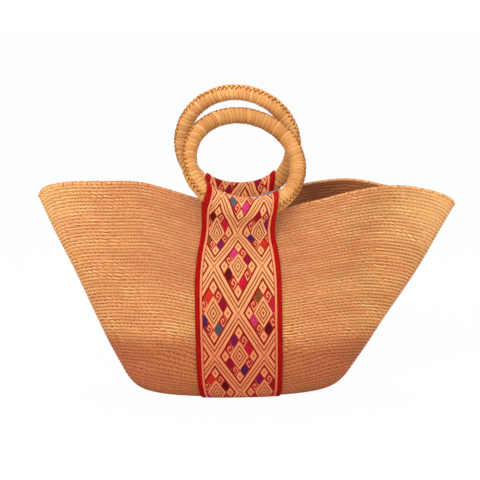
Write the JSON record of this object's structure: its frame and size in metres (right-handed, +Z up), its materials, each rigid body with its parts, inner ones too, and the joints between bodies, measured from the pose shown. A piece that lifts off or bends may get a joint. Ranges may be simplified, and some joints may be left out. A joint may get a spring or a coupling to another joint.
{
  "type": "market bag",
  "caption": "Flared oval market bag of plaited palm leaf with a brocade sash and two wrapped ring handles that fold down and turn in their cloth loops.",
  "frame": {"origin": "middle of the bag's footprint on the surface that it stands on", "axes": "+X along the mouth, to the right as seen from the front; +Z up; -Y is the front"},
  "size_m": [0.5182, 0.1722, 0.3786],
  "materials": {
    "palm_plait": "satin plaited palm leaf",
    "ring_wrap": "satin wound palm leaf",
    "ring_core": "raw cane",
    "brocade": "supplementary-weft brocade",
    "red_binding": "folded cotton binding",
    "lining": "plain cotton"
  },
  "bodies": {
    "bag": {"base": "palm_plait", "wall": "palm_plait", "rim_edging": "palm_plait", "sash_front": "brocade", "sash_base": "brocade", "sash_back": "brocade", "binding_front_left": "red_binding", "binding_front_right": "red_binding", "binding_base_left": "red_binding", "binding_base_right": "red_binding", "binding_back_left": "red_binding", "binding_back_right": "red_binding", "lining_front": "lining", "lining_back": "lining"},
    "front_handle": {"sash_front_loop": "brocade", "binding_front_loop_left": "red_binding", "binding_front_loop_right": "red_binding"},
    "front_ring": {"ring_core_front": "ring_core", "ring_wrap_front": "ring_wrap"},
    "back_handle": {"sash_back_loop": "brocade", "binding_back_loop_left": "red_binding", "binding_back_loop_right": "red_binding"},
    "back_ring": {"ring_core_back": "ring_core", "ring_wrap_back": "ring_wrap"}
  },
  "joints": [
    {"name": "front_handle_fold", "type": "hinge", "parent": "bag", "child": "front_handle", "pos_m": [-0.01, -0.0521, 0.2075], "axis": [0.9986, -0.0523, 0], "range_deg": [0, 110]},
    {"name": "front_ring_turn", "type": "hinge", "parent": "front_handle", "child": "front_ring", "pos_m": [-0.00717, -0.02865, 0.29092], "axis": [0.1421, -0.7447, 0.6521], "continuous": true},
    {"name": "back_handle_fold", "type": "hinge", "parent": "bag", "child": "back_handle", "pos_m": [-0.01, 0.0509, 0.2075], "axis": [-0.9986, -0.0523, 0], "range_deg": [0, 110]},
    {"name": "back_ring_turn", "type": "hinge", "parent": "back_handle", "child": "back_ring", "pos_m": [-0.01053, 0.05106, 0.30135], "axis": [-0.1419, -0.9497, -0.279], "continuous": true}
  ]
}
